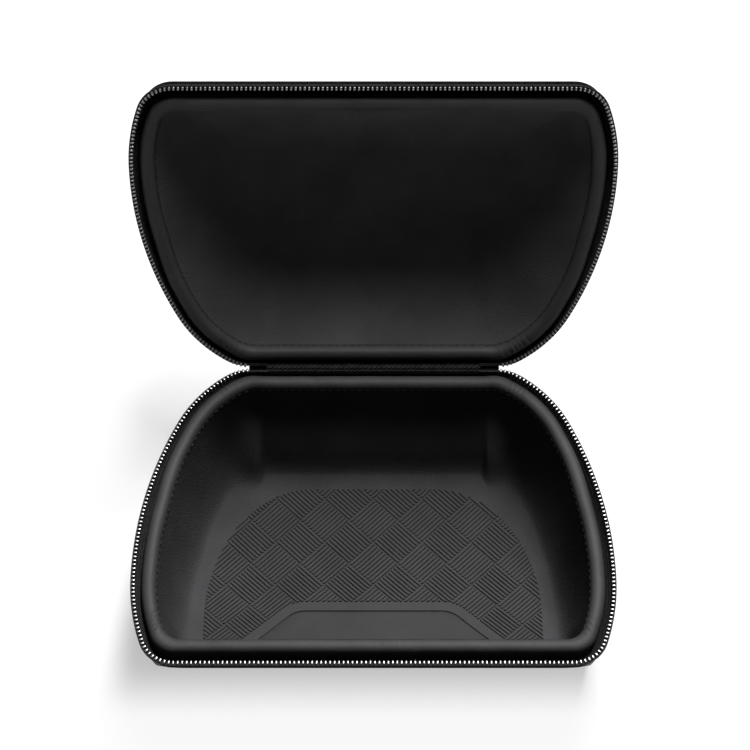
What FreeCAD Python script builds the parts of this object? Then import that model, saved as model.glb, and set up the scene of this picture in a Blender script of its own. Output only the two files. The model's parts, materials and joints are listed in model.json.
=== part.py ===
"""Zip-round carrying case for a game controller, standing open.

Two moulded foam halves meet at a parting plane. Each half has a flat rim face that
carries a padded edge roll and a zip tape with its row of teeth. A woven strip at the
back is the hinge, and the zip slider is parked at the strip's left end.

Frame: +X right, +Y back, +Z up, millimetres. The origin is the middle of the flat
face that the case stands on. A "reach" runs forward from the hinge axis, a "drop"
runs down from the parting plane, a "level" runs up or down from it, and an "inset"
runs inward from the rim outline.
"""

import FreeCAD
import Part
import math
import os
from FreeCAD import Vector

# Rim outline, over the outside of the zip teeth
rim_width = 188.0
rim_depth = 131.0
back_corner_radius = 16.0
back_corner_turn = 33.0
flank_radius = 54.6
flank_turn = 64.0
side_radius = 159.0
shoulder_radius = 84.0
front_corner_radius = 14.3
sharpest_corner = 8.0

# Lid pose, and heights from the parting plane
lid_open_angle = 113.5
base_height = 53.0
lid_height = 27.0
rim_drop = 8.0
floor_thickness = 3.0
lid_thickness = 3.0

# Outsides of the two shells: insets of the rim edge, slopes from upright, edge rounding
shell_inset = 2.8
shell_hinge_inset = 0.6
base_slope = 6.0
base_edge_radius = 10.0
base_front_slope = 30.0
front_lip = 1.0
front_edge_rise = 5.0
front_edge_slope = 60.0
lid_slope = 36.0
lid_edge_radius = 14.0
base_edge_facets = 2
lid_edge_facets = 1

# Padded roll round each mouth
roll_width = 6.0
roll_inset = 8.3
roll_hinge_inset = 5.3
roll_slope = 6.0
roll_edge_radius = 2.0
roll_facets = 1
roll_clearance = 0.3

# Hollows of the two halves
mouth_step = 0.2
cavity_slope = 4.5
cavity_front_slope = 23.0
cavity_fillet = 10.0
ramp_reach = 64.0
ramp_slope = 11.5
lid_hollow_slope = 28.0
lid_hollow_fillet = 12.0

# Zip tapes, standing on the rim faces and leaning out to the teeth
tape_thickness = 0.7
tape_foot_inset = 4.75
tape_foot_hinge_inset = 0.9
tape_top_drop = 1.3
tooth_inset = 1.0
tooth_hinge_inset = 1.0
tooth_pitch = 3.2
tooth_root = 1.7
tooth_thickness = 1.6
tooth_overlap = 0.8
zip_end_trim = 1.0
tape_strip_gap = 0.3

# Woven hinge strip
strip_width = 84.0
strip_thickness = 0.6
strip_inset = 0.9
strip_straight = 5.4

# Zip slider, its pull, and the ends of the chain
slider_length = 7.4
slider_strip_gap = 0.6
slider_inner_width = 3.8
slider_outer_width = 6.0
slider_plate = 0.9
slider_gap = 2.0
slider_setback = 2.1
slider_bridge_length = 2.0
slider_bridge_width = 1.0
slider_bridge_gap = 0.2
crown_length = 4.6
crown_width = 0.9
crown_bar = 0.8
crown_eye = 1.5
pull_pin_diameter = 1.0
pull_arm_width = 0.9
pull_arm_clearance = 0.4
pull_slot = 3.2
pull_length = 24.0
pull_width = 7.0
pull_thickness = 1.2
pull_corner_cut = 1.6
chain_end_gap = 0.4
chain_end_lap = 4.0
chain_end_out = 1.2
chain_end_width = 2.4

# Embossed floor panel and the smooth raised pad between the grips
mat_inset = 26.6
mat_back_reach = 29.0
mat_back_width = 50.0
mat_front_inset = 32.0
mat_thickness = 0.6
mat_margin = 5.0
pad_depth = 13.0
pad_back_width = 62.0
pad_flare = 45.0
pad_corner_radius = 9.0
pad_thickness = 1.0
ridge_block = 21.0
ridges_in_block = 3
ridge_width = 3.6
ridge_height = 0.5
ridge_end_gap = 1.6

# Front of the floor panel, and back of the pad
mat_front_reach = rim_depth - mat_front_inset
pad_back_reach = mat_front_reach - pad_depth

# Centres of the rim's arcs
rim_half = rim_width / 2
flank_start = math.radians(back_corner_turn)
flank_end = math.radians(flank_turn)
flank_reach = back_corner_radius + (flank_radius - back_corner_radius) * math.cos(flank_start)
side_reach = flank_reach + (side_radius - flank_radius) * math.cos(flank_end)
side_x = rim_half - side_radius
flank_x = side_x + (side_radius - flank_radius) * math.sin(flank_end)
shoulder_x = rim_half - shoulder_radius


def tan(angle):
    return math.tan(math.radians(angle))


def rim_arcs(inset, hinge_inset, shrink):
    """Five tangent arcs down the right side: centre x and reach, radius, start and end turn.

    The outline lies an inset within the rim, with its hinge side at a reach of its own.
    The shrink then moves it inward with its long arcs still about the same centres.
    """
    back = max(back_corner_radius - inset, sharpest_corner)
    front = max(front_corner_radius - inset, sharpest_corner)
    flank = flank_radius - inset
    shoulder = shoulder_radius - inset
    turn_1 = math.acos((flank_reach - hinge_inset - back) / (flank - back))
    turn_4 = math.acos((side_reach + front - rim_depth + inset) / (shoulder - front))
    back = max(back - shrink, sharpest_corner)
    front = max(front - shrink, sharpest_corner)
    flank -= shrink
    shoulder -= shrink
    side = side_radius - inset - shrink
    back_x = flank_x + (flank - back) * math.sin(turn_1)
    back_reach = flank_reach - (flank - back) * math.cos(turn_1)
    front_x = shoulder_x + (shoulder - front) * math.sin(turn_4)
    front_reach = side_reach - (shoulder - front) * math.cos(turn_4)
    return [
        (back_x, back_reach, back, 0, turn_1),
        (flank_x, flank_reach, flank, turn_1, flank_end),
        (side_x, side_reach, side, flank_end, math.pi / 2),
        (shoulder_x, side_reach, shoulder, math.pi / 2, turn_4),
        (front_x, front_reach, front, turn_4, math.pi),
    ]


def rounded_wall(start, end, slope, radius, facets):
    """Steps of (shrink, level) up a wall: a straight slope, then a rounding to a flat end."""
    lean = math.radians(slope)
    bend_level = end - radius + radius * math.sin(lean)
    centre = math.tan(lean) * (bend_level - start) + radius * math.cos(lean)
    steps = [(0, start)]
    for step in range(facets + 1):
        turn = lean + (math.pi / 2 - lean) * step / facets
        steps.append((centre - radius * math.cos(turn), end - radius + radius * math.sin(turn)))
    return steps


# The hinge axis, placed so that the origin is the middle of the rest face
base_profile = rounded_wall(rim_drop, base_height, base_slope, base_edge_radius, base_edge_facets)
rest_corner = rim_arcs(shell_inset, shell_hinge_inset, base_profile[-1][0])[0]
rest_back = rest_corner[1] - rest_corner[2]
front_top_reach = rim_depth - shell_inset
front_edge_drop = base_height - front_edge_rise
front_edge_reach = front_top_reach - (front_edge_drop - rim_drop - front_lip) * tan(base_front_slope)
rest_front = front_edge_reach - front_edge_rise * tan(front_edge_slope)
hinge_y = (rest_back + rest_front) / 2
hinge_z = base_height
HINGE = Vector(0, hinge_y, hinge_z)
X_AXIS = Vector(1, 0, 0)
open_turn = math.radians(lid_open_angle)
half_turn = open_turn / 2


def save(name, shape):
    shape.exportStep(os.path.join("parts", name + ".step"))


def opened(shape):
    """The shape of a lid piece, swung from closed to where the lid stands."""
    turned = shape.copy()
    turned.rotate(HINGE, X_AXIS, -lid_open_angle)
    return turned


def rim_edges(inset, hinge_inset, z, shrink=0):
    """Edges of a D: straight hinge side, right side, straight front, left side."""
    arcs = rim_arcs(inset, hinge_inset, shrink)

    def at(arc, turn, side):
        x, reach, radius = arc[:3]
        return Vector(side * (x + radius * math.sin(turn)), hinge_y - reach + radius * math.cos(turn), z)

    right = []
    left = []
    for arc in arcs:
        start, end = arc[3:]
        turns = (start, (start + end) / 2, end)
        right.append(Part.Arc(*[at(arc, turn, 1) for turn in turns]).toShape())
        left.insert(0, Part.Arc(*[at(arc, turn, -1) for turn in reversed(turns)]).toShape())
    back = Part.LineSegment(at(arcs[0], 0, -1), at(arcs[0], 0, 1)).toShape()
    front = Part.LineSegment(at(arcs[-1], math.pi, 1), at(arcs[-1], math.pi, -1)).toShape()
    return [back, *right, front, *left]


def stacked(inset, hinge_inset, side, profile):
    """Solid through outlines about the same centres, above (1) or below (-1) the parting plane."""
    rings = []
    for shrink, level in profile:
        rings.append(Part.Wire(rim_edges(inset, hinge_inset, hinge_z + side * level, shrink)))
    return Part.makeLoft(rings, True, True)


def front_wedge(reach, level, slope, side):
    """Block in front of a plane that slopes in from a point at the front, away from the parting plane."""
    end = base_height + rim_drop
    end_reach = reach - (end - level) * tan(slope)
    corners = [(reach, level), (end_reach, end), (2 * rim_depth, end), (2 * rim_depth, level)]
    points = [Vector(-rim_half, hinge_y - along, hinge_z + side * away) for along, away in corners]
    return Part.Face(Part.makePolygon([*points, points[0]])).extrude(Vector(rim_width, 0, 0))


def lid_front(solid, reach, profile):
    """The solid with its front cut to planes that follow the steps of its wall."""
    steps = [(0, rim_drop + front_lip), *profile[1:]]
    for (shrink, level), (next_shrink, next_level) in zip(steps, steps[1:]):
        slope = math.degrees(math.atan2(next_shrink - shrink, next_level - level))
        solid = solid.cut(front_wedge(reach - shrink, level, slope, 1))
    return solid


def floor_band(low, high, front):
    """Slab between two heights over the hollow's floor, which ramps up to the front."""
    rise = (front - ramp_reach) * tan(ramp_slope)
    lower = [(0, low), (ramp_reach, low), (front, low + rise)]
    upper = [(front, high + rise), (ramp_reach, high), (0, high), (0, low)]
    points = [Vector(-rim_half, hinge_y - reach, floor_thickness + up) for reach, up in lower + upper]
    return Part.Face(Part.makePolygon(points)).extrude(Vector(rim_width, 0, 0))


# Mouth of each hollow: just inside the roll's inner edge
mouth_inset = roll_inset + roll_width / 2 + mouth_step
mouth_hinge_inset = roll_hinge_inset + roll_width / 2 + mouth_step


def base_hollow():
    """Bowl with a sloping front and a floor that rises to it."""
    depth = base_height - floor_thickness
    profile = rounded_wall(rim_drop, depth, cavity_slope, cavity_fillet, base_edge_facets)
    bowl = stacked(mouth_inset, mouth_hinge_inset, -1, profile)
    front = front_wedge(rim_depth - mouth_inset, rim_drop + front_lip, cavity_front_slope, -1)
    return bowl.cut(front).cut(floor_band(-base_height, 0, rim_depth))


def base_shell():
    """Deep half: tapered D with a sloping front face, hollowed from above."""
    outside = stacked(shell_inset, shell_hinge_inset, -1, base_profile)
    outside = outside.cut(front_wedge(front_top_reach, rim_drop + front_lip, base_front_slope, -1))
    outside = outside.cut(front_wedge(front_edge_reach, front_edge_drop, front_edge_slope, -1))
    return outside.cut(base_hollow())


def lid_shell():
    """Shallow half: a dish of even thickness."""
    depth = lid_height - lid_thickness
    outside = rounded_wall(rim_drop, lid_height, lid_slope, lid_edge_radius, lid_edge_facets)
    inside = rounded_wall(rim_drop, depth, lid_hollow_slope, lid_hollow_fillet, lid_edge_facets)
    dish = lid_front(stacked(mouth_inset, mouth_hinge_inset, 1, inside), rim_depth - mouth_inset, inside)
    cover = lid_front(stacked(shell_inset, shell_hinge_inset, 1, outside), front_top_reach, outside)
    return cover.cut(dish)


def rim_roll(side):
    """Padded roll: a band on the rim face with both free edges rounded over."""
    profile = rounded_wall(0, rim_drop - roll_clearance, roll_slope, roll_edge_radius, roll_facets)
    half = roll_width / 2
    over = [(shrink, rim_drop - rise) for shrink, rise in profile]
    under = [(-shrink, rim_drop - rise) for shrink, rise in profile]
    outer = stacked(roll_inset - half, roll_hinge_inset - half, side, over)
    return outer.cut(stacked(roll_inset + half, roll_hinge_inset + half, side, under))


# The zip ends where the rim outline leaves the straight hinge side
zip_path = Part.Wire(rim_edges(tooth_inset, tooth_hinge_inset, hinge_z)[1:])
zip_end_x = zip_path.Vertexes[0].X + zip_end_trim


def zip_tape(side):
    """Woven tape, standing on the rim face and leaning out to the line of teeth; it ends at the strip."""
    seat_z = hinge_z + side * rim_drop
    top_z = hinge_z + side * tape_top_drop
    half = tape_thickness / 2

    def leaning(shift):
        foot = Part.Wire(rim_edges(tape_foot_inset + shift, tape_foot_hinge_inset + shift, seat_z))
        top = Part.Wire(rim_edges(tooth_inset + shift, tooth_hinge_inset + shift, top_z))
        return Part.makeLoft([foot, top], True, True)

    tape = leaning(-half).cut(leaning(half))
    end_x = strip_width / 2 + tape_strip_gap
    gap_start = Vector(-end_x, hinge_y - back_corner_radius, hinge_z - rim_drop)
    gap = Part.makeBox(2 * end_x, 2 * back_corner_radius, 2 * rim_drop, gap_start)
    return tape.cut(gap)


def zip_teeth(side, phase):
    """One wedge at each pitch along the tape's edge; the two rows stand half a pitch apart."""
    root_z = hinge_z + side * tape_top_drop
    tip_z = hinge_z - side * tooth_overlap
    half_pitches = 2 * int(zip_path.Length / tooth_pitch)
    points = zip_path.discretize(Number=half_pitches + 1)
    teeth = []
    for before, here, after in list(zip(points, points[1:], points[2:]))[phase::2]:
        along = (after - before).normalize()
        across = along.cross(Vector(0, 0, 1))
        middle = here - across * (tooth_thickness / 2)
        root = Vector(middle.x, middle.y, root_z)
        tip = Vector(middle.x, middle.y, tip_z)
        half_root = along * (tooth_root / 2)
        outline = [root - half_root, root + half_root, tip, root - half_root]
        teeth.append(Part.Face(Part.makePolygon(outline)).extrude(across * tooth_thickness))
    return Part.makeCompound(teeth)


def hinge_strip():
    """Woven strip, bent round the hinge axis between the rim faces of the two halves."""
    half = strip_thickness / 2
    bend_drop = rim_drop - strip_straight
    bend_radius = strip_inset + bend_drop / math.tan(half_turn)
    centre = Vector(0, hinge_y - strip_inset + bend_radius, hinge_z - bend_drop)
    foot = Vector(0, hinge_y - strip_inset, hinge_z - rim_drop)

    def round_bend(radius, turn):
        return centre + Vector(0, -radius * math.cos(turn), radius * math.sin(turn))

    def lid_side(shift):
        closed = Part.Vertex(Vector(0, foot.y + shift, hinge_z + rim_drop))
        return opened(closed).Point

    inner, outer = bend_radius + half, bend_radius - half
    edges = [
        Part.LineSegment(foot + Vector(0, -half, 0), round_bend(inner, 0)).toShape(),
        Part.Arc(*[round_bend(inner, turn) for turn in (0, half_turn, open_turn)]).toShape(),
        Part.LineSegment(round_bend(inner, open_turn), lid_side(-half)).toShape(),
        Part.LineSegment(lid_side(-half), lid_side(half)).toShape(),
        Part.LineSegment(lid_side(half), round_bend(outer, open_turn)).toShape(),
        Part.Arc(*[round_bend(outer, turn) for turn in (open_turn, half_turn, 0)]).toShape(),
        Part.LineSegment(round_bend(outer, 0), foot + Vector(0, half, 0)).toShape(),
        Part.LineSegment(foot + Vector(0, half, 0), foot + Vector(0, -half, 0)).toShape(),
    ]
    strip = Part.Face(Part.Wire(edges)).extrude(Vector(strip_width, 0, 0))
    strip.translate(Vector(-strip_width / 2, 0, 0))
    return strip


def at_zip_end(shape):
    """Turn a piece built for the closed zip (outward is +Y) to half of the lid's swing."""
    turned = shape.copy()
    turned.rotate(HINGE, X_AXIS, -lid_open_angle / 2)
    return turned


def block(x, width_x, out, width_out, width_z):
    """Box centred on x and on the zip line, from a distance outward of the hinge axis."""
    corner = Vector(x - width_x / 2, hinge_y + out, hinge_z - width_z / 2)
    return Part.makeBox(width_x, width_out, width_z, corner)


slider_x = -(strip_width / 2 + slider_strip_gap + slider_length / 2)
slider_outer = slider_setback + slider_plate + slider_gap
crown_out = slider_outer + slider_plate
pin_out = crown_out + crown_eye / 2


def zip_slider():
    """Two plates joined by a bridge at the nose, with an arched crown on the outside."""
    inner = block(slider_x, slider_length, slider_setback, slider_plate, slider_inner_width)
    outer = block(slider_x, slider_length, slider_outer, slider_plate, slider_outer_width)
    nose = slider_x - (slider_length - slider_bridge_length) / 2
    bridge_reach = slider_outer + slider_plate - slider_setback
    bridge = block(nose, slider_bridge_length, slider_setback, bridge_reach, slider_bridge_width)
    arch = block(slider_x, crown_length, crown_out, crown_eye + crown_bar, crown_width)
    eye = block(slider_x, crown_length - 2 * crown_bar, crown_out, crown_eye, crown_width)
    upright = [e for e in outer.Edges if abs(e.tangentAt(e.FirstParameter).y) > 0.9]
    shield = outer.makeChamfer(slider_outer_width / 4, upright)
    return at_zip_end(inner.fuse([shield, bridge, arch.cut(eye)]).removeSplitter())


def zip_pull():
    """Flat tab with an eye: its pin lies under the crown, so it hangs straight out."""
    slot_width = crown_width + 2 * pull_arm_clearance
    tab = block(slider_x, pull_thickness, pin_out, pull_length, pull_width)
    ends = [e for e in tab.Edges if abs(e.tangentAt(e.FirstParameter).x) > 0.9
            and e.BoundBox.YMin > hinge_y + pin_out + 1]
    tab = tab.makeChamfer(pull_corner_cut, ends)
    neck_width = slot_width + 2 * pull_arm_width
    shoulder = block(slider_x, pull_thickness, pin_out, pull_slot + pull_arm_width, pull_width)
    neck = block(slider_x, pull_thickness, pin_out, pull_slot + pull_arm_width, neck_width)
    slot = block(slider_x, pull_thickness, pin_out, pull_slot, slot_width)
    pin_start = Vector(slider_x, hinge_y + pin_out, hinge_z - neck_width / 2)
    pin = Part.makeCylinder(pull_pin_diameter / 2, neck_width, pin_start, Vector(0, 0, 1))
    return at_zip_end(tab.cut(shoulder.cut(neck)).cut(slot).fuse(pin).removeSplitter())


def chain_end(start, length, out):
    """Closed last stretch of the zip, lying across the hinge axis."""
    return at_zip_end(block(start + length / 2, length, out, tooth_thickness, chain_end_width))


def zip_chain_ends():
    """Bare end that laps the strip on the right, and the stub in the parked slider on the left."""
    stub = slider_length - slider_bridge_length - slider_bridge_gap
    stub_start = slider_x + slider_length / 2 - stub
    stub_out = slider_setback + slider_plate + (slider_gap - tooth_thickness) / 2
    bare_start = strip_width / 2 - chain_end_lap
    bare = chain_end(bare_start, zip_end_x - chain_end_gap - bare_start, chain_end_out)
    return Part.makeCompound([bare, chain_end(stub_start, stub, stub_out)])


def prism(wire, low, high):
    solid = Part.Face(wire).extrude(Vector(0, 0, high - low))
    solid.translate(Vector(0, 0, low))
    return solid


def pad_wire(grow):
    """Outline of the pad: a trapezoid that flares to the front, with round back corners."""
    front = mat_front_reach
    back = pad_back_reach - grow
    half = pad_back_width / 2 + grow * math.tan(math.radians(90 - pad_flare) / 2)
    wide = half + (front - back) * tan(pad_flare)
    corners = [(-half, back), (half, back), (wide, front), (-wide, front), (-half, back)]
    return Part.makePolygon([Vector(x, hinge_y - reach, 0) for x, reach in corners])


def pad_prism(grow):
    solid = prism(pad_wire(grow), 0, base_height)
    back_y = hinge_y - pad_back_reach + grow
    upright = [e for e in solid.Edges if abs(e.tangentAt(e.FirstParameter).z) > 0.9
               and abs(e.BoundBox.YMax - back_y) < 1e-6]
    return solid.makeFillet(pad_corner_radius + grow, upright)


def front_pad():
    return floor_band(0, pad_thickness, mat_front_reach).common(pad_prism(0))


def mat_wire():
    """Outline of the floor panel: a straight back and front, with quarter ellipses down to the sides."""
    half = rim_half - mat_inset
    back_half = mat_back_width / 2

    def at(x, reach):
        return Vector(x, hinge_y - reach, 0)

    def back_corner(side):
        centre = at(side * back_half, pad_back_reach)
        side_point = at(side * half, pad_back_reach)
        back_point = at(side * back_half, mat_back_reach)
        return Part.ArcOfEllipse(Part.Ellipse(back_point, side_point, centre), 0, math.pi / 2).toShape()

    edges = [
        Part.LineSegment(at(-back_half, mat_back_reach), at(back_half, mat_back_reach)).toShape(),
        back_corner(1),
        Part.LineSegment(at(half, pad_back_reach), at(half, mat_front_reach)).toShape(),
        Part.LineSegment(at(half, mat_front_reach), at(-half, mat_front_reach)).toShape(),
        Part.LineSegment(at(-half, mat_front_reach), at(-half, pad_back_reach)).toShape(),
        back_corner(-1),
    ]
    return Part.Wire(edges)


def ridge_bars():
    """Upright bars of the emboss: blocks set on their corners, ridged one way and the other by turns."""
    pitch = ridge_block / ridges_in_block
    length = ridge_block - ridge_end_gap
    steps = int(rim_width / ridge_block) + 1
    middle = Vector(0, hinge_y - (mat_back_reach + mat_front_reach) / 2, 0)
    bars = []
    for column in range(-steps, steps + 1):
        for row in range(-steps, steps + 1):
            for ridge in range(ridges_in_block):
                offset = (ridge + 0.5) * pitch - ridge_block / 2
                corner = Vector(-length / 2, offset - ridge_width / 2, 0)
                bar = Part.makeBox(length, ridge_width, base_height, corner)
                bar.rotate(Vector(), Vector(0, 0, 1), 45 + 90 * ((column + row) % 2))
                across = (column - row) * ridge_block / math.sqrt(2)
                along = (column + row) * ridge_block / math.sqrt(2)
                bar.translate(middle + Vector(across, along, 0))
                if abs(across) < rim_half - mat_inset and abs(along) < mat_front_reach - mat_back_reach:
                    bars.append(bar)
    return bars


def floor_mat():
    """Embossed panel on the rising floor, with a plain margin cut out round the pad."""
    field = prism(mat_wire(), 0, base_height).cut(pad_prism(mat_margin))
    sheet = floor_band(0, mat_thickness, mat_front_reach).common(field)
    relief = floor_band(mat_thickness, mat_thickness + ridge_height, mat_front_reach).common(field)
    ridges = relief.common(Part.makeCompound(ridge_bars()))
    return sheet.fuse(ridges.Solids)


os.makedirs("parts", exist_ok=True)
save("base_shell", base_shell())
save("lid_shell", opened(lid_shell()))
save("base_rim_roll", rim_roll(-1))
save("lid_rim_roll", opened(rim_roll(1)))
save("base_zip_tape", zip_tape(-1))
save("lid_zip_tape", opened(zip_tape(1)))
save("base_zip_teeth", zip_teeth(-1, 0))
save("lid_zip_teeth", opened(zip_teeth(1, 1)))
save("hinge_strip", hinge_strip())
save("zip_slider", zip_slider())
save("zip_pull", zip_pull())
save("zip_chain_ends", zip_chain_ends())
save("floor_mat", floor_mat())
save("front_pad", front_pad())
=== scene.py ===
import json
import math
import random

import bpy
from mathutils import Matrix, Vector


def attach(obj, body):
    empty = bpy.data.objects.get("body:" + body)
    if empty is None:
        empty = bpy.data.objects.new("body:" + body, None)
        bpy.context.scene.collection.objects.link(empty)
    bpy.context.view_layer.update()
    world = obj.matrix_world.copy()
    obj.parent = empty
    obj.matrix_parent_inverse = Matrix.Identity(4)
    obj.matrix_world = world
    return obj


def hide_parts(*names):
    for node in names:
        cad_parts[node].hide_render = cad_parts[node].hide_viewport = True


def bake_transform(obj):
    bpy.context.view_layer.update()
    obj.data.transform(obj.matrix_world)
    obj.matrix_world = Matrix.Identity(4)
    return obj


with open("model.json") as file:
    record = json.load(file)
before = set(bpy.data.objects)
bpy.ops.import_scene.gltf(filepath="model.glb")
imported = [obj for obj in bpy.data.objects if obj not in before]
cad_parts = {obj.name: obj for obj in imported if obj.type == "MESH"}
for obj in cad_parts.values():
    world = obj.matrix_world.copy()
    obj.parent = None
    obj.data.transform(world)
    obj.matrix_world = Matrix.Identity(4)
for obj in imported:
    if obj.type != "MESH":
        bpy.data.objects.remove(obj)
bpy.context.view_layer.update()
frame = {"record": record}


# Studio: a pale floor under one long soft lamp that hangs above, behind and a little to the
# right, a faint even sky, and a camera as far off and as high as the one in the photograph.
lid_joint = frame["record"]["behaviour"]["joints"][0]
hinge = Vector(lid_joint["pos_m"])
open_turn = math.radians(-lid_joint["range_deg"][0])
camera_rise = math.radians(59.49)
camera_distance = 1.178
image_size = 750
hinge_in_image = (373.4, 368.0)

bpy.ops.object.select_all(action="DESELECT")
bpy.ops.object.camera_add()
camera = bpy.context.object
camera.location = hinge + camera_distance * Vector((0, -math.cos(camera_rise), math.sin(camera_rise)))
camera.rotation_euler = (hinge - camera.location).to_track_quat("-Z", "Y").to_euler()
camera.data.lens = 140.8
camera.data.shift_x = (image_size / 2 - hinge_in_image[0]) / image_size
camera.data.shift_y = (hinge_in_image[1] - image_size / 2) / image_size
bpy.context.scene.camera = camera
bpy.context.scene.view_settings.view_transform = "Standard"

world = bpy.data.worlds.new("soft_sky")
world.use_nodes = True
world.node_tree.nodes["Background"].inputs["Color"].default_value = (1.0, 1.0, 1.0, 1.0)
world.node_tree.nodes["Background"].inputs["Strength"].default_value = 0.02
bpy.context.scene.world = world

lamp_place = Vector((0.34, 0.8, 1.9))
bpy.ops.object.light_add(type="AREA", location=lamp_place)
lamp = bpy.context.object
lamp.name = "key_lamp"
lamp.data.shape = "RECTANGLE"
lamp.data.size = 0.45
lamp.data.size_y = 1.2
lamp.data.energy = 78.0
lamp.rotation_euler = (Vector((0.0, 0.0, 0.05)) - lamp_place).to_track_quat("-Z", "Y").to_euler()

bpy.ops.object.select_all(action="DESELECT")
bpy.ops.mesh.primitive_plane_add(size=8)
floor = bpy.context.object
floor.name = "studio_floor"


def finish(name, grey, roughness):
    """A new node material with its even grey and gloss; each piece adds its own detail."""
    material = bpy.data.materials.new(name)
    material.use_nodes = True
    shader = material.node_tree.nodes["Principled BSDF"]
    shader.inputs["Base Color"].default_value = (grey, grey, grey, 1.0)
    shader.inputs["Roughness"].default_value = roughness
    return material, shader


floor_paint, shader = finish("floor_paint", 0.9, 0.9)
shader.inputs["Specular IOR Level"].default_value = 0.1
nodes, links = floor_paint.node_tree.nodes, floor_paint.node_tree.links


def floor_maths(operation, first, second=0.0, third=0.0):
    """A number worked out at each place on the floor, from node outputs or plain values."""
    step = nodes.new("ShaderNodeMath")
    step.operation = operation
    for socket, value in zip(step.inputs, (first, second, third)):
        if isinstance(value, float):
            socket.default_value = value
        else:
            links.new(value, socket)
    return step.outputs["Value"]


# The floor gets a painted glow, seen by the camera and in shiny pieces, so that it looks white. Near the
# case the painted glow is weaker, so the lamp's shadow shows there. Further off the glow grows, and this
# paints the shadow's fading out.
ray = nodes.new("ShaderNodeLightPath").outputs
seen = floor_maths("MAXIMUM", ray["Is Camera Ray"], ray["Is Glossy Ray"])
seen = floor_maths("MAXIMUM", seen, ray["Is Transmission Ray"])
place = nodes.new("ShaderNodeTexCoord")
apart = nodes.new("ShaderNodeSeparateXYZ")
links.new(place.outputs["Object"], apart.inputs["Vector"])
sideways = floor_maths("SUBTRACT", floor_maths("ABSOLUTE", apart.outputs["X"]), 0.045)
forward = floor_maths("MULTIPLY", apart.outputs["Y"], -1.0)
distance = floor_maths("SMOOTH_MAX", sideways, forward, 0.02)
fade = nodes.new("ShaderNodeMapRange")
fade.interpolation_type = "SMOOTHSTEP"
fade.inputs["From Min"].default_value = 0.048
fade.inputs["From Max"].default_value = 0.076
fade.inputs["To Min"].default_value = 0.5
fade.inputs["To Max"].default_value = 0.94
links.new(distance, fade.inputs["Value"])
glow = nodes.new("ShaderNodeEmission")
blend = nodes.new("ShaderNodeMixShader")
links.new(floor_maths("MULTIPLY", seen, fade.outputs["Result"]), blend.inputs["Fac"])
links.new(shader.outputs["BSDF"], blend.inputs[1])
links.new(glow.outputs["Emission"], blend.inputs[2])
links.new(blend.outputs["Shader"], nodes["Material Output"].inputs["Surface"])
floor.data.materials.append(floor_paint)


# Deep half: foam pressed to shape between a woven outer cloth and a napped lining, and
# trimmed to a flat rim. The floor is flat at the back and rises to the front.
# Lengths are millimetres: x from the middle, reach forward of the hinge, drop from the rim plane.
rim_half = 94.0
rim_depth = 131.0
corner_radii = (16.0, 14.3)
long_radii = (54.6, 159.0, 84.0)
flank_start = math.radians(33.0)
flank_end = math.radians(64.0)
sharpest_corner = 8.0
flank_reach = corner_radii[0] + (long_radii[0] - corner_radii[0]) * math.cos(flank_start)
side_reach = flank_reach + (long_radii[1] - long_radii[0]) * math.cos(flank_end)
side_x = rim_half - long_radii[1]
flank_x = side_x + (long_radii[1] - long_radii[0]) * math.sin(flank_end)
shoulder_x = rim_half - long_radii[2]
arc_steps = (6, 18, 40, 16, 12)
hinge_steps = 56
front_steps = 84
front_pull = 2.1


def rim_points(inset, hinge_inset, shrink=0.0, fine=1):
    """(x, reach) round a D that lies an inset within the rim, as the solids have it."""
    back, front = [max(radius - inset, sharpest_corner) for radius in corner_radii]
    flank, side, shoulder = [radius - inset for radius in long_radii]
    turn_1 = math.acos((flank_reach - hinge_inset - back) / (flank - back))
    turn_4 = math.acos((side_reach + front - rim_depth + inset) / (shoulder - front))
    back, front = [max(radius - shrink, sharpest_corner) for radius in (back, front)]
    flank, side, shoulder = flank - shrink, side - shrink, shoulder - shrink
    back_x = flank_x + (flank - back) * math.sin(turn_1)
    back_reach = flank_reach - (flank - back) * math.cos(turn_1)
    front_x = shoulder_x + (shoulder - front) * math.sin(turn_4)
    front_reach = side_reach - (shoulder - front) * math.cos(turn_4)
    arcs = [
        (back_x, back_reach, back, 0.0, turn_1),
        (flank_x, flank_reach, flank, turn_1, flank_end),
        (side_x, side_reach, side, flank_end, math.pi / 2),
        (shoulder_x, side_reach, shoulder, math.pi / 2, turn_4),
        (front_x, front_reach, front, turn_4, math.pi),
    ]
    right = []
    for (x, reach, radius, start, end), steps in zip(arcs, arc_steps):
        for step in range(steps * fine):
            turn = start + (end - start) * step / (steps * fine)
            right.append((x + radius * math.sin(turn), reach - radius * math.cos(turn)))
    back_shares = [2 * step / (hinge_steps * fine) - 1 for step in range(hinge_steps * fine)]
    front_shares = [1 - 2 * step / (front_steps * fine) for step in range(front_steps * fine + 1)]
    points = [(back_x * share, back_reach - back) for share in back_shares]
    points += right
    points += [(front_x * share, front_reach + front) for share in front_shares]
    points += [(-x, reach) for x, reach in reversed(right[1:])]
    return points


def eased(value, start, end):
    """How far a value has come from a start to an end, from 0 to 1 without a kink."""
    share = min(max((value - start) / (end - start), 0.0), 1.0)
    return share * share * (3 - 2 * share)


def mouth_points(inset, hinge_inset, shrink=0.0, fine=1):
    """A D along the mouth, with fuller back corners and a front side that lies further in."""
    points = []
    for x, reach in rim_points(inset, hinge_inset, shrink, fine):
        push = eased(abs(x), 44.0, 54.0) * eased(reach, 62.0, 40.0)
        pull = front_pull * eased(reach, 92.0, 122.0)
        points.append((x + math.copysign(0.7 * push, x), reach - 1.0 * push - pull))
    return points


def base_point(x, reach, drop):
    """A place on the deep half, in the frame's metres."""
    return hinge + Vector((x, -reach, -drop)) * 0.001


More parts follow.
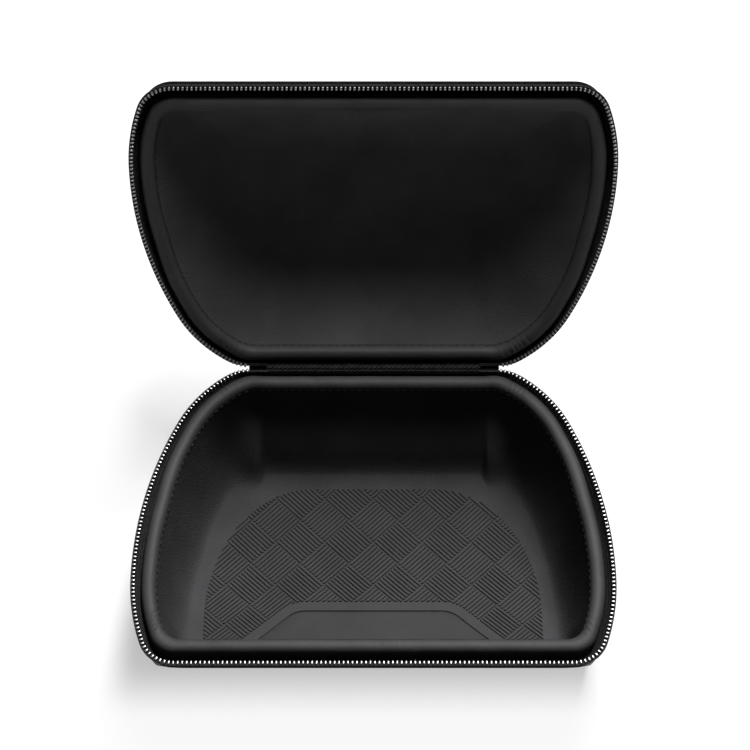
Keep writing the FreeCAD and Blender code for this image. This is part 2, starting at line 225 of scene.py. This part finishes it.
def rounded_wall(start, end, slope, radius, wall_steps, edge_steps):
    """(shrink, drop) steps along a wall that slopes in and rounds to a flat end."""
    lean = math.radians(slope)
    bend_drop = end - radius + radius * math.sin(lean)
    middle = math.tan(lean) * (bend_drop - start) + radius * math.cos(lean)
    steps = []
    for step in range(wall_steps):
        drop = start + (bend_drop - start) * step / wall_steps
        steps.append((math.tan(lean) * (drop - start), drop))
    for step in range(edge_steps + 1):
        turn = lean + (math.pi / 2 - lean) * step / edge_steps
        steps.append((middle - radius * math.cos(turn), end - radius + radius * math.sin(turn)))
    return steps


def wrap(name, rows, closed=True):
    """A grid laid over rows of points: each row is a line round or along the case."""
    if closed:
        rows = [row + row[:1] for row in rows]
    bpy.ops.object.select_all(action="DESELECT")
    bpy.ops.mesh.primitive_grid_add(x_subdivisions=len(rows[0]) - 1, y_subdivisions=len(rows) - 1)
    piece = bpy.context.object
    piece.name = name
    for vertex, point in zip(piece.data.vertices, [point for row in rows for point in row]):
        vertex.co = point
    piece.data.update()
    return piece


def close_up(piece, crease=40.0):
    """Merge the grid's seams, fill what is left open and turn the faces outwards."""
    bpy.ops.object.mode_set(mode="EDIT")
    bpy.ops.mesh.select_all(action="SELECT")
    bpy.ops.mesh.remove_doubles(threshold=0.000002)
    bpy.ops.mesh.fill_holes(sides=0)
    bpy.ops.mesh.select_all(action="SELECT")
    bpy.ops.mesh.normals_make_consistent(inside=False)
    bpy.ops.object.mode_set(mode="OBJECT")
    bpy.ops.object.shade_smooth_by_angle(angle=math.radians(crease))


shell_inset, shell_hinge_inset = 2.8, 0.6
mouth_inset, mouth_hinge_inset = 10.4, 8.4
rim_drop = 8.0
seam_drop = 4.4
base_height = 53.0
floor_drop = 50.0
rise_start = 57.0
rise_length = 245.0
middle_reach = 58.0
slope_drop = 9.0
front_reach, front_slope = 128.2, math.radians(30)
lower_reach, lower_drop, lower_slope = 105.7, 48.0, math.radians(60)
inner_front_reach, inner_front_slope = 118.5, math.radians(22)
back_swell = 4.2
corner_step = 3.5


def floor_level(reach):
    """The drop of the hollow's floor, which curves up to the front."""
    return floor_drop - max(reach - rise_start, 0.0) ** 2 / rise_length


def drawn_in(ring, share):
    """A ring drawn towards the middle of its half."""
    return [(x * share, middle_reach + (reach - middle_reach) * share, drop) for x, reach, drop in ring]


def shell_rows(outer_steps, inner_steps, outside, inside):
    """Rows from the middle of the outside, over the rim, to the middle of the hollow."""
    outer = []
    mouth = mouth_points(mouth_inset - 1.0, mouth_hinge_inset - 1.0)
    inner = [[(x, reach, rim_drop) for x, reach in mouth]]
    for shrink, drop in outer_steps:
        front = rim_depth - shell_inset - shrink
        ring = rim_points(shell_inset, shell_hinge_inset, shrink)
        outer.append([outside(x, min(reach, front), drop) for x, reach in ring])
    for shrink, drop in inner_steps:
        front = rim_depth - mouth_inset - front_pull - shrink
        ring = mouth_points(mouth_inset, mouth_hinge_inset, shrink)
        inner.append([inside(x, min(reach, front), drop) for x, reach in ring])
    outer += [drawn_in(outer[-1], share) for share in (0.9, 0.6, 0.3, 0.06)]
    flat = [(x, reach, inner_steps[-1][1]) for x, reach, drop in inner[-1]]
    for share in (0.93, 0.85, 0.74, 0.62, 0.5, 0.38, 0.26, 0.14, 0.05):
        ring = drawn_in(flat, share)
        inner.append([(x, reach, inside(x, reach, drop)[2]) for x, reach, drop in ring])
    return outer[::-1] + inner, len(outer)


def base_outside(x, reach, drop):
    """The front slopes in, more so along its lower edge, and rounds to the sides."""
    below = max(drop - slope_drop, 0.0)
    past_corner = max(abs(x) - 72.0, 0.0) / 14.0
    rounding = (1.2 + 3.3 * eased(below, 0.0, 14.0)) * past_corner ** 2
    slope = front_reach - below * math.tan(front_slope) - rounding
    edge = lower_reach - (drop - lower_drop) * math.tan(lower_slope)
    return x, min(reach, slope, edge), drop


def base_inside(x, reach, drop):
    """The front slopes in, the back stands forward, most at its corners, and the floor rises."""
    below = max(drop - slope_drop, 0.0)
    reach = min(reach, inner_front_reach - below * math.tan(inner_front_slope))
    swell = back_swell + corner_step * eased(abs(x), 44.5, 47.0)
    swell -= (back_swell + corner_step) * eased(abs(x), 47.0, 60.0)
    reach += swell * eased(drop, 14.0, 42.0) * eased(reach, 46.0, 30.0)
    level = floor_level(reach)
    risen = seam_drop + (drop - seam_drop) * (level - seam_drop) / (floor_drop - seam_drop)
    return x, reach, risen + (min(drop, level) - risen) * eased(reach, 98.0, 106.0)


def bowl(start, end, lean, sweep, steps):
    """(shrink, drop) steps down a wall that curves all the way from its seam to a flat end."""
    turns = [math.pi / 2 * step / steps for step in range(steps + 1)]
    shrinks = [lean * math.sin(turn) + sweep * (1 - math.cos(turn)) for turn in turns]
    drops = [start + (end - start) * math.sin(turn) for turn in turns]
    return list(zip(shrinks, drops))


rows, outer_rows = shell_rows(
    rounded_wall(rim_drop, base_height, slope=6.0, radius=10.0, wall_steps=8, edge_steps=6),
    bowl(seam_drop, floor_drop, lean=2.5, sweep=8.5, steps=20),
    base_outside, base_inside)
base_case = wrap("base_case", [[base_point(*point) for point in row] for row in rows])


def mottle(material, scale, dark, pale):
    """Let the colour wander between a dark and a pale grey."""
    nodes, links = material.node_tree.nodes, material.node_tree.links
    place = nodes.new("ShaderNodeTexCoord")
    cloud = nodes.new("ShaderNodeTexNoise")
    cloud.inputs["Scale"].default_value = scale
    cloud.inputs["Detail"].default_value = 6.0
    tone = nodes.new("ShaderNodeValToRGB")
    tone.color_ramp.elements[0].position = 0.3
    tone.color_ramp.elements[0].color = (dark, dark, dark * 1.04, 1.0)
    tone.color_ramp.elements[1].position = 0.7
    tone.color_ramp.elements[1].color = (pale, pale, pale * 1.04, 1.0)
    links.new(place.outputs["Object"], cloud.inputs["Vector"])
    links.new(cloud.outputs["Fac"], tone.inputs["Fac"])
    links.new(tone.outputs["Color"], nodes["Principled BSDF"].inputs["Base Color"])


def grain(material, scale, strength, depth):
    """A fine uneven surface, as of nap or soft leathercloth."""
    nodes, links = material.node_tree.nodes, material.node_tree.links
    place = nodes.new("ShaderNodeTexCoord")
    specks = nodes.new("ShaderNodeTexNoise")
    specks.inputs["Scale"].default_value = scale
    specks.inputs["Detail"].default_value = 3.0
    bump = nodes.new("ShaderNodeBump")
    bump.inputs["Strength"].default_value = strength
    bump.inputs["Distance"].default_value = depth
    links.new(place.outputs["Object"], specks.inputs["Vector"])
    links.new(specks.outputs["Fac"], bump.inputs["Height"])
    links.new(bump.outputs["Normal"], nodes["Principled BSDF"].inputs["Normal"])


def weave(material, place, ways, scales, strength, depth, mirror=1.0):
    """Threads in two directions, as bands that add up; a mirror of -1 slants them the other way."""
    nodes, links = material.node_tree.nodes, material.node_tree.links
    source = nodes.new("ShaderNodeTexCoord")
    crossing = nodes.new("ShaderNodeMath")
    crossing.operation = "ADD"
    facing = nodes.new("ShaderNodeVectorMath")
    facing.operation = "MULTIPLY"
    facing.inputs[1].default_value = (mirror, 1.0, 1.0)
    links.new(source.outputs[place], facing.inputs[0])
    for index, (way, scale) in enumerate(zip(ways, scales)):
        threads = nodes.new("ShaderNodeTexWave")
        threads.bands_direction = way
        threads.inputs["Scale"].default_value = scale
        threads.inputs["Distortion"].default_value = 0.4
        links.new(facing.outputs["Vector"], threads.inputs["Vector"])
        links.new(threads.outputs["Fac"], crossing.inputs[index])
    bump = nodes.new("ShaderNodeBump")
    bump.inputs["Strength"].default_value = strength
    bump.inputs["Distance"].default_value = depth
    links.new(crossing.outputs["Value"], bump.inputs["Height"])
    links.new(bump.outputs["Normal"], nodes["Principled BSDF"].inputs["Normal"])


outer_cloth, shader = finish("outer_cloth", 0.018, 0.8)
shader.inputs["Sheen Weight"].default_value = 0.25
shader.inputs["Sheen Roughness"].default_value = 0.5
mottle(outer_cloth, 70.0, 0.014, 0.022)
weave(outer_cloth, "Object", "XZ", (320.0, 320.0), 0.35, 0.0003)

lining, shader = finish("napped_lining", 0.055, 0.95)
shader.inputs["Specular IOR Level"].default_value = 0.03
mottle(lining, 45.0, 0.046, 0.062)
grain(lining, 1500.0, 0.9, 0.0005)


def line_case(piece, columns, outer_rows):
    """Outer cloth on the rows outside, lining on the rim and in the hollow."""
    piece.data.materials.append(outer_cloth)
    piece.data.materials.append(lining)
    for polygon in piece.data.polygons:
        polygon.material_index = int(polygon.index // columns >= outer_rows - 1)


line_case(base_case, len(rows[0]), outer_rows)
close_up(base_case)
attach(base_case, "base")
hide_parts("base_shell")


# Shallow half: pressed as the deep one is, with walls that slope more and a flat top.
# It stands open, leaning back on the woven hinge.
def lid_point(x, reach, drop):
    """A place on the shallow half where it stands open, in the frame's metres."""
    back = -reach * math.cos(open_turn) + drop * math.sin(open_turn)
    up = reach * math.sin(open_turn) + drop * math.cos(open_turn)
    return hinge + Vector((x, back, up)) * 0.001


def as_it_is(x, reach, drop):
    """This half has no sloped front and no rising floor."""
    return x, reach, drop


lid_height = 27.0
lid_hollow = 24.0
dish_width = 30.0
dish_depth = lid_hollow - seam_drop
dish_shares = [step / 18 for step in range(19)]
rows, outer_rows = shell_rows(
    rounded_wall(rim_drop, lid_height, slope=36.0, radius=14.0, wall_steps=5, edge_steps=6),
    [(dish_width * share, lid_hollow - dish_depth * (1 - share) ** 2) for share in dish_shares],
    as_it_is, as_it_is)
lid_case = wrap("lid_case", [[lid_point(*point) for point in row] for row in rows])
line_case(lid_case, len(rows[0]), outer_rows)
close_up(lid_case)
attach(lid_case, "lid")
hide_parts("lid_shell")


# Rim rolls: a soft foam cord in a smooth cover, sewn down along the mouth of each half.
# The cover creases where the cord goes round a corner or was pinched by the thread.
roll_inset, roll_hinge_inset = 7.3, 5.3
roll_half_width = 3.0
roll_crest_drop = 0.35
roll_around = 16
crease_width = 0.6
base_creases = [(-56, 9, 6, 1.8, 0.4), (56, 9, 5, 1.9, 0.4), (79, 42, 3, 2.2, 0.25),
                (-83, 112, 4, 2.0, 0.4), (82, 114, 3, 2.6, 0.18)]
lid_creases = [(-58, 10, 5, 2.0, 0.35), (57, 9, 7, 1.9, 0.4),
               (83, 112, 4, 2.0, 0.4), (-83, 112, 3, 2.0, 0.3)]

roll_cover, shader = finish("roll_cover", 0.036, 0.6)
shader.inputs["Specular IOR Level"].default_value = 0.22
mottle(roll_cover, 60.0, 0.031, 0.041)
grain(roll_cover, 900.0, 0.35, 0.0003)


def make_roll(name, half_point, creases, seed):
    """A closed band with a rounded section, a little uneven, and pinched in at its creases.

    Each group of creases is given as its x, reach, count, spacing and depth.
    """
    draw = random.Random(seed)
    swells = [(draw.randint(9, 40), draw.uniform(0.0, 6.28), draw.uniform(0.02, 0.05))
              for _ in range(7)]
    line = mouth_points(roll_inset, roll_hinge_inset, fine=3)
    along = [0.0]
    for (x, reach), (next_x, next_reach) in zip(line, line[1:] + line[:1]):
        along.append(along[-1] + math.hypot(next_x - x, next_reach - reach))
    pinches = [(draw.uniform(0.0, along[-1]), draw.uniform(0.03, 0.08)) for _ in range(30)]
    for x, reach, count, spacing, depth in creases:
        gaps = [math.hypot(line_x - x, line_reach - reach) for line_x, line_reach in line]
        nearest = gaps.index(min(gaps))
        for step in range(count):
            place = along[nearest] + (step - (count - 1) / 2) * spacing * draw.uniform(0.8, 1.2)
            pinches.append((place, depth * draw.uniform(0.6, 1.0)))
    sinks = []
    for distance in along[:-1]:
        share = 2 * math.pi * distance / along[-1]
        sink = sum(depth * math.sin(count * share + start) for count, start, depth in swells)
        sink += sum(depth * math.exp(-((distance - place) / crease_width) ** 2)
                    for place, depth in pinches)
        sinks.append(sink)
    middle = (rim_drop + roll_crest_drop) / 2
    lift = middle - roll_crest_drop
    bands = []
    for step in range(roll_around + 1):
        turn = 2 * math.pi * step / roll_around
        side = math.copysign(abs(math.cos(turn)) ** 0.75, math.cos(turn)) * roll_half_width
        height = math.copysign(abs(math.sin(turn)) ** 0.85, math.sin(turn))
        ring = mouth_points(roll_inset + side, roll_hinge_inset + side, fine=3)
        bands.append([half_point(x, reach, middle - height * lift + max(height, 0.0) * sink)
                      for (x, reach), sink in zip(ring, sinks)])
    roll = wrap(name, bands)
    roll.data.materials.append(roll_cover)
    close_up(roll)
    bpy.ops.object.modifier_add(type="SUBSURF")
    bpy.ops.object.modifier_apply(modifier=roll.modifiers[-1].name)
    bpy.ops.object.shade_smooth()
    return roll


base_roll = make_roll("base_roll", base_point, base_creases, 3)
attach(base_roll, "base")
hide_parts("base_rim_roll")
lid_roll = make_roll("lid_roll", lid_point, lid_creases, 8)
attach(lid_roll, "lid")
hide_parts("lid_rim_roll")


# Sewing thread: one row of stitches along the foot of each roll, where it meets the hollow.
# One stitch is modelled and copied along the line.
stitch_pitch = 0.003
thread, shader = finish("sewing_thread", 0.012, 0.8)
mottle(thread, 300.0, 0.008, 0.016)
grain(thread, 3000.0, 0.4, 0.0001)


def spaced(line, pitch, phase):
    """(point, direction) at each pitch along a line of points."""
    places = []
    wanted = pitch * phase
    walked = 0.0
    for here, after in zip(line, line[1:]):
        step = (after - here).length
        while walked + step > wanted:
            places.append((here.lerp(after, (wanted - walked) / step), (after - here).normalized()))
            wanted += pitch
        walked += step
    return places


def copy_of(original, move):
    """One copy of a small piece, moved within its mesh."""
    piece = original.copy()
    piece.data = original.data.copy()
    piece.data.transform(move)
    bpy.context.collection.objects.link(piece)
    return piece


def joined(name, pieces):
    """Several pieces made one object."""
    bpy.ops.object.select_all(action="DESELECT")
    for piece in pieces:
        piece.select_set(True)
    bpy.context.view_layer.objects.active = pieces[0]
    bpy.ops.object.join()
    bpy.context.object.name = name
    return bpy.context.object


def row_of(name, original, places, up):
    """Copies of a small piece, each with its x along the line and its z turned up."""
    pieces = []
    for point, along in places:
        turn = Matrix((along, up.cross(along), up)).transposed().to_4x4()
        pieces.append(copy_of(original, Matrix.Translation(point) @ turn))
    return joined(name, pieces)


def small_box(name, low, high, bevel, segments=1):
    """A bevelled block between two corners, in millimetres, made in metres."""
    bpy.ops.object.select_all(action="DESELECT")
    bpy.ops.mesh.primitive_cube_add(size=1)
    piece = bpy.context.object
    piece.name = name
    for vertex in piece.data.vertices:
        share = vertex.co + Vector((0.5, 0.5, 0.5))
        vertex.co = [0.001 * (a + (b - a) * s) for a, b, s in zip(low, high, share)]
    bpy.ops.object.mode_set(mode="EDIT")
    bpy.ops.mesh.select_all(action="SELECT")
    bpy.ops.mesh.bevel(offset=0.001 * bevel, segments=segments, affect="EDGES")
    bpy.ops.object.mode_set(mode="OBJECT")
    bpy.ops.object.shade_smooth_by_angle(angle=math.radians(50))
    return piece


stitch = small_box("stitch", (-0.8, -0.35, -0.3), (0.8, 0.35, 0.3), 0.2, 2)
stitch.data.materials.append(thread)
base_up = Vector((0.0, 0.0, 1.0))
lid_up = (lid_point(0.0, 0.0, 0.0) - lid_point(0.0, 0.0, 1.0)).normalized()
seam = mouth_points(mouth_inset - 0.3, mouth_hinge_inset - 0.3)
seam += seam[:1]
for body, half_point, up in (("base", base_point, base_up), ("lid", lid_point, lid_up)):
    line = [half_point(x, reach, seam_drop - 0.6) for x, reach in seam]
    stitches = row_of(body + "_stitches", stitch, spaced(line, stitch_pitch, 0.5), up)
    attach(stitches, body)
bpy.data.objects.remove(stitch)


# Zip tapes: woven bands sewn to the rims, which lean out to the teeth on their free edges.
# They end beside the hinge strip.
zip_end_x = 50.8
tape_end_x = 42.3
tape_half = 0.35
tape_rise = 6.9
tape_foot_inset, tape_top_inset = 4.75, 1.0
tape_foot_hinge_inset, tape_top_hinge_inset = 0.9, 1.0


def zip_points(inset, hinge_inset, end_x):
    """(x, reach) along the zip, from its right end round the front to its left end."""
    ring = rim_points(inset, hinge_inset)
    line = ring[hinge_steps:] + ring[:1]
    return [(end_x, line[0][1])] + line[1:-1] + [(-end_x, line[0][1])]


tape_cloth, shader = finish("tape_cloth", 0.015, 0.85)
shader.inputs["Specular IOR Level"].default_value = 0.2
mottle(tape_cloth, 900.0, 0.008, 0.03)
weave(tape_cloth, "UV", "XY", (240.0, 4.0), 0.6, 0.0003)


def make_tape(name, half_point):
    """A band leaning from its foot on the rim to the thick edge under the teeth."""
    steps = [0.0, 0.3, 0.6, 0.8]
    section = [(share, -tape_half) for share in steps] + [(0.9, -0.75), (1.0, -0.75), (1.08, -0.4)]
    section += [(1.08, 0.4)] + [(share, tape_half) for share in reversed(steps)]
    rows = []
    for share, shift in section + section[:1]:
        inset = tape_foot_inset + (tape_top_inset - tape_foot_inset) * share
        hinge_inset = tape_foot_hinge_inset + (tape_top_hinge_inset - tape_foot_hinge_inset) * share
        line = zip_points(inset + shift, hinge_inset + shift, tape_end_x)
        rows.append([half_point(x, reach, rim_drop - tape_rise * share) for x, reach in line])
    tape = wrap(name, rows, closed=False)
    tape.data.materials.append(tape_cloth)
    close_up(tape)
    return tape


base_tape = make_tape("base_tape", base_point)
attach(base_tape, "base")
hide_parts("base_zip_tape")
lid_tape = make_tape("lid_tape", lid_point)
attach(lid_tape, "lid")
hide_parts("lid_zip_tape")


# Zip teeth: small silver bars clamped on the tapes' edges. The two rows stand half a pitch
# apart, so that they interlock when the case is shut.
tooth_pitch = 0.0017
tooth_inset, tooth_hinge_inset = 1.4, 1.0
silver, shader = finish("tooth_silver", 0.32, 0.38)
shader.inputs["Metallic"].default_value = 0.9
mottle(silver, 400.0, 0.27, 0.37)
grain(silver, 2500.0, 0.15, 0.0001)

tooth = small_box("tooth", (-0.42, -0.65, -1.0), (0.42, 0.65, 0.3), 0.16, 2)
for vertex in tooth.data.vertices:
    if vertex.co.z > 0.0:
        vertex.co.x *= 0.85
tooth.data.materials.append(silver)
tooth_line = zip_points(tooth_inset, tooth_hinge_inset, zip_end_x)
for body, half_point, up, phase in (("base", base_point, base_up, 0.5), ("lid", lid_point, lid_up, 1.0)):
    line = [half_point(x, reach, 0.0) for x, reach in tooth_line]
    teeth = row_of(body + "_teeth", tooth, spaced(line, tooth_pitch, phase), up)
    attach(teeth, body)
    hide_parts(body + "_zip_teeth")
bpy.data.objects.remove(tooth)


# Hinge strip: a twill-woven strip sewn to both rims at the back, built as it lies bent with the lid
# standing open. Its middle lies in a round bend behind the hinge line.
strip_half_width = 43.0
strip_half = 0.3
strip_inset = 0.9
bend_drop = 2.6
bend_radius = strip_inset + bend_drop / math.tan(open_turn / 2)
twill, shader = finish("hinge_twill", 0.02, 0.85)
shader.inputs["Specular IOR Level"].default_value = 0.2
mottle(twill, 500.0, 0.012, 0.03)
weave(twill, "Object", ("DIAGONAL", "Z"), (330.0, 300.0), 1.0, 0.0008, mirror=-1.0)


def strip_side(shift, x):
    """Points up one face of the strip, from the deep half's rim to the shallow half's."""
    points = [base_point(x, strip_inset - shift, drop) for drop in (8.0, 6.2, 4.4)]
    for step in range(13):
        turn = open_turn * step / 12
        radius = bend_radius - shift
        reach = strip_inset - bend_radius + radius * math.cos(turn)
        points.append(base_point(x, reach, bend_drop - radius * math.sin(turn)))
    return points + [lid_point(x, strip_inset - shift, drop) for drop in (4.4, 6.2, 8.0)]


columns = [strip_half_width * (step / 20 - 1) for step in range(41)]
outer_face = [strip_side(strip_half, x) for x in columns]
inner_face = [strip_side(-strip_half, x) for x in columns]
loops = [outside + inside[::-1] + outside[:1] for outside, inside in zip(outer_face, inner_face)]
strip = wrap("hinge_weave", [list(row) for row in zip(*loops)], closed=False)
strip.data.materials.append(twill)
close_up(strip)
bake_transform(strip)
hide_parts("hinge_strip")


# Chain ends: the last closed stretch of the zip at each end of the strip, where the two rows
# of teeth are locked together between black tape. Like the slider and the pull they are built
# round the hinge, as (x, back, up), and then turned half as far as the lid stands open.
locked_start, locked_pitch, locked_count = 42.6, 1.5, 6
half_open = Matrix.Translation(hinge) @ Matrix.Rotation(-open_turn / 2, 4, "X")
end_tape, shader = finish("chain_end_tape", 0.01, 0.85)
shader.inputs["Specular IOR Level"].default_value = 0.2
mottle(end_tape, 600.0, 0.006, 0.014)
weave(end_tape, "Object", "XY", (500.0, 500.0), 0.5, 0.0003)

slider_black, shader = finish("slider_black", 0.02, 0.38)
shader.inputs["Metallic"].default_value = 0.4
mottle(slider_black, 300.0, 0.014, 0.03)
grain(slider_black, 1500.0, 0.12, 0.0001)

ends = [small_box("bare_end", (38.0, 1.4, -1.7), (50.4, 2.6, 1.7), 0.3, 2),
        small_box("stub_end", (-47.8, 3.2, -1.2), (-42.6, 4.8, 1.2), 0.3, 2)]
for piece in ends:
    piece.data.materials.append(end_tape)
for step in range(locked_count):
    x = locked_start + locked_pitch * step
    locked = small_box("locked_tooth", (x - 0.4, 1.2, -0.8), (x + 0.4, 2.8, 0.8), 0.14)
    locked.data.materials.append(slider_black)
    ends.append(locked)
chain_ends = joined("chain_ends", ends)
chain_ends.data.transform(half_open)
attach(chain_ends, "zip_end")
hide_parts("zip_chain_ends")


# Zip slider: a die-cast black slider parked on the left end of the chain. Two plates joined
# by a bridge run on the teeth, and an arched crown on the outside holds the pull.
slider_x = -46.3
arch = []
for corner_x, corner_up in ((-0.4, -0.45), (0.4, -0.45), (0.4, 0.45), (-0.4, 0.45), (-0.4, -0.45)):
    line = []
    for step in range(17):
        turn = math.pi * step / 16
        bow_x = math.copysign(abs(math.cos(turn)) ** 0.6, math.cos(turn)) * (1.9 + corner_x)
        bow_out = 5.8 + math.sin(turn) ** 0.6 * (2.0 + corner_x)
        line.append(Vector((slider_x + bow_x, bow_out, corner_up)) * 0.001)
    arch.append(line)
crown = wrap("crown", arch, closed=False)
close_up(crown)
slider = joined("slider", [
    small_box("inner_plate", (-50.0, 2.1, -1.9), (-42.6, 3.0, 1.9), 0.3, 3),
    small_box("outer_plate", (-50.0, 5.0, -3.0), (-42.6, 5.9, 3.0), 0.3, 3),
    small_box("bridge", (-50.0, 2.4, -0.5), (-48.0, 5.6, 0.5), 0.2, 2),
    crown,
])
slider.data.materials.clear()
slider.data.materials.append(slider_black)
slider.data.transform(half_open)
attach(slider, "zip_end")
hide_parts("zip_slider")


# Zip pull: a flat tab of the same metal, whose pin lies under the crown.
# It hangs behind the case.
bpy.ops.object.select_all(action="DESELECT")
bpy.ops.mesh.primitive_cylinder_add(vertices=20, radius=0.0005, depth=0.0035)
pin = bpy.context.object
pin.data.transform(Matrix.Translation(Vector((slider_x, 6.65, 0.0)) * 0.001))
pull = joined("pull", [
    small_box("tab", (-46.9, 10.0, -3.5), (-45.7, 30.65, 3.5), 0.45, 3),
    small_box("arm_low", (-46.9, 6.65, -1.75), (-45.7, 10.6, -0.85), 0.25, 2),
    small_box("arm_high", (-46.9, 6.65, 0.85), (-45.7, 10.6, 1.75), 0.25, 2),
    pin,
])
pull.data.materials.append(slider_black)
pull.data.transform(half_open)
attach(pull, "zip_pull")
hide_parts("zip_pull")


# Front pad: a smooth raised pad of soft foam between the controller's grips, glued on the
# rising floor. It flares to the front.
mat_front = 100.4
pad_back = 86.0
pad_half = 31.0
pad_corner = 9.0
pad_middle = 93.5
pad_top = 1.0


def pad_line(grow):
    """(x, reach) round the pad: a trapezoid with round back corners, grown on three sides."""
    back = pad_back - grow
    half = pad_half + grow * math.tan(math.radians(22.5))
    radius = pad_corner + grow
    cut = radius * math.tan(math.radians(22.5))
    wide = half + mat_front - back
    right = [(half - cut + radius * math.sin(turn), back + radius - radius * math.cos(turn))
             for turn in [math.pi / 4 * step / 8 for step in range(9)]]
    flare_x, flare_reach = right[-1]
    for share in [step / 8 for step in range(1, 9)]:
        right.append((flare_x + (wide - flare_x) * share,
                      flare_reach + (mat_front - flare_reach) * share))
    front = [(wide * (1 - step / 12), mat_front) for step in range(1, 24)]
    return right + front + [(-x, reach) for x, reach in reversed(right)]


def on_floor(x, reach, height):
    """A place at a height over the hollow's floor."""
    return base_point(x, reach, floor_level(reach) - height)


foam, shader = finish("smooth_foam", 0.031, 0.7)
shader.inputs["Specular IOR Level"].default_value = 0.2
mottle(foam, 60.0, 0.027, 0.035)
grain(foam, 1400.0, 0.3, 0.0002)
rows = [[on_floor(x, reach, height) for x, reach in pad_line(grow)]
        for grow, height in ((0.0, -0.3), (0.0, 0.4), (-0.25, 0.8), (-0.8, pad_top))]
edge = pad_line(-0.8)
for share in (0.8, 0.5, 0.2):
    rows.append([on_floor(x * share, pad_middle + (reach - pad_middle) * share, pad_top)
                 for x, reach in edge])
pad = wrap("pad", rows)
pad.data.materials.append(foam)
close_up(pad)
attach(pad, "base")
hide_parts("front_pad")


# Floor panel: thin foam embossed with fine ridges and glued on the floor. Square blocks stand
# on their corners, ridged one way and the other by turns, and a plain margin runs round the pad.
mat_thickness = 0.6
ridge_height = 0.6
mat_half = 67.4
mat_corner = (42.4, 57.0)
ridge_block = 14.0
ridges_in_block = 9
pattern_middle = 63.2
panel_foam, shader = finish("embossed_foam", 0.034, 0.7)
shader.inputs["Specular IOR Level"].default_value = 0.2
mottle(panel_foam, 80.0, 0.03, 0.038)
grain(panel_foam, 1600.0, 0.25, 0.0002)


def upright(name, line):
    """A tall block over an outline of (x, reach), to cut the panel with."""
    block = wrap(name, [[Vector((x, -reach, z)) for x, reach in line] for z in (-5.0, 5.0)])
    close_up(block)
    return block


def cut_with(piece, tool, operation):
    """Apply one boolean with a tool, which stays for later cuts."""
    bpy.ops.object.select_all(action="DESELECT")
    bpy.context.view_layer.objects.active = piece
    piece.select_set(True)
    bpy.ops.object.modifier_add(type="BOOLEAN")
    piece.modifiers[-1].operation = operation
    piece.modifiers[-1].object = tool
    piece.modifiers[-1].solver = "EXACT"
    bpy.ops.object.modifier_apply(modifier=piece.modifiers[-1].name)


corner_turns = [math.pi / 2 * step / 30 for step in range(31)]
right = [(mat_half - mat_corner[0] * (1 - math.sin(turn)), pad_back - mat_corner[1] * math.cos(turn))
         for turn in corner_turns]
right.append((mat_half, mat_front))
field = upright("field", right + [(-x, reach) for x, reach in reversed(right)])
around_pad = upright("around_pad", pad_line(0.5))
cut_with(field, around_pad, "DIFFERENCE")
bpy.data.objects.remove(around_pad)

levels = [24.0 + 2.5 * step for step in range(32)]
sheet_rows = [[Vector((x, -reach, 0.0)) for x in (-80.0, 80.0)] for reach in levels]
sheet = wrap("sheet", sheet_rows, closed=False)
bpy.ops.object.mode_set(mode="EDIT")
bpy.ops.mesh.select_all(action="SELECT")
bpy.ops.mesh.extrude_region_move(TRANSFORM_OT_translate={"value": (0.0, 0.0, mat_thickness)})
bpy.ops.mesh.select_all(action="SELECT")
bpy.ops.mesh.normals_make_consistent(inside=False)
bpy.ops.object.mode_set(mode="OBJECT")

bpy.ops.object.select_all(action="DESELECT")
bpy.ops.mesh.primitive_cube_add(size=1)
ridge = bpy.context.object
pitch = ridge_block / ridges_in_block
length = ridge_block - 0.5
for vertex in ridge.data.vertices:
    if vertex.co.z > 0:
        ridge_length, half_width, level = length - 0.3, 0.22 * pitch, mat_thickness + ridge_height
    else:
        ridge_length, half_width, level = length, 0.34 * pitch, mat_thickness - 0.05
    vertex.co = (vertex.co.x * ridge_length, math.copysign(half_width, vertex.co.y), level)
block_range = range(-8, 9)
ridges = []
for column in block_range:
    for row in block_range:
        across = (column - row) * ridge_block / math.sqrt(2)
        along = (column + row) * ridge_block / math.sqrt(2)
        if abs(across) > 72 or abs(along) > 42:
            continue
        turn = Matrix.Rotation(math.radians(45 + 90 * ((column + row) % 2)), 4, "Z")
        block_place = Matrix.Translation((across, along - pattern_middle, 0.0)) @ turn
        for index in range(ridges_in_block):
            offset = Vector((0.0, (index + 0.5) * pitch - ridge_block / 2, 0.0))
            ridges.append(copy_of(ridge, block_place @ Matrix.Translation(offset)))
bpy.data.objects.remove(ridge)
emboss = joined("emboss", ridges)
margin = upright("margin", pad_line(5.0))
cut_with(sheet, field, "INTERSECT")
cut_with(field, margin, "DIFFERENCE")
cut_with(emboss, field, "INTERSECT")
for piece in (sheet, emboss):
    for vertex in piece.data.vertices:
        vertex.co = on_floor(vertex.co.x, -vertex.co.y, vertex.co.z)
    piece.data.materials.clear()
    piece.data.materials.append(panel_foam)
panel = joined("panel", [sheet, emboss])
bpy.ops.object.shade_smooth_by_angle(angle=math.radians(30))
bpy.data.objects.remove(field)
bpy.data.objects.remove(margin)
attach(panel, "base")
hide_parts("floor_mat")
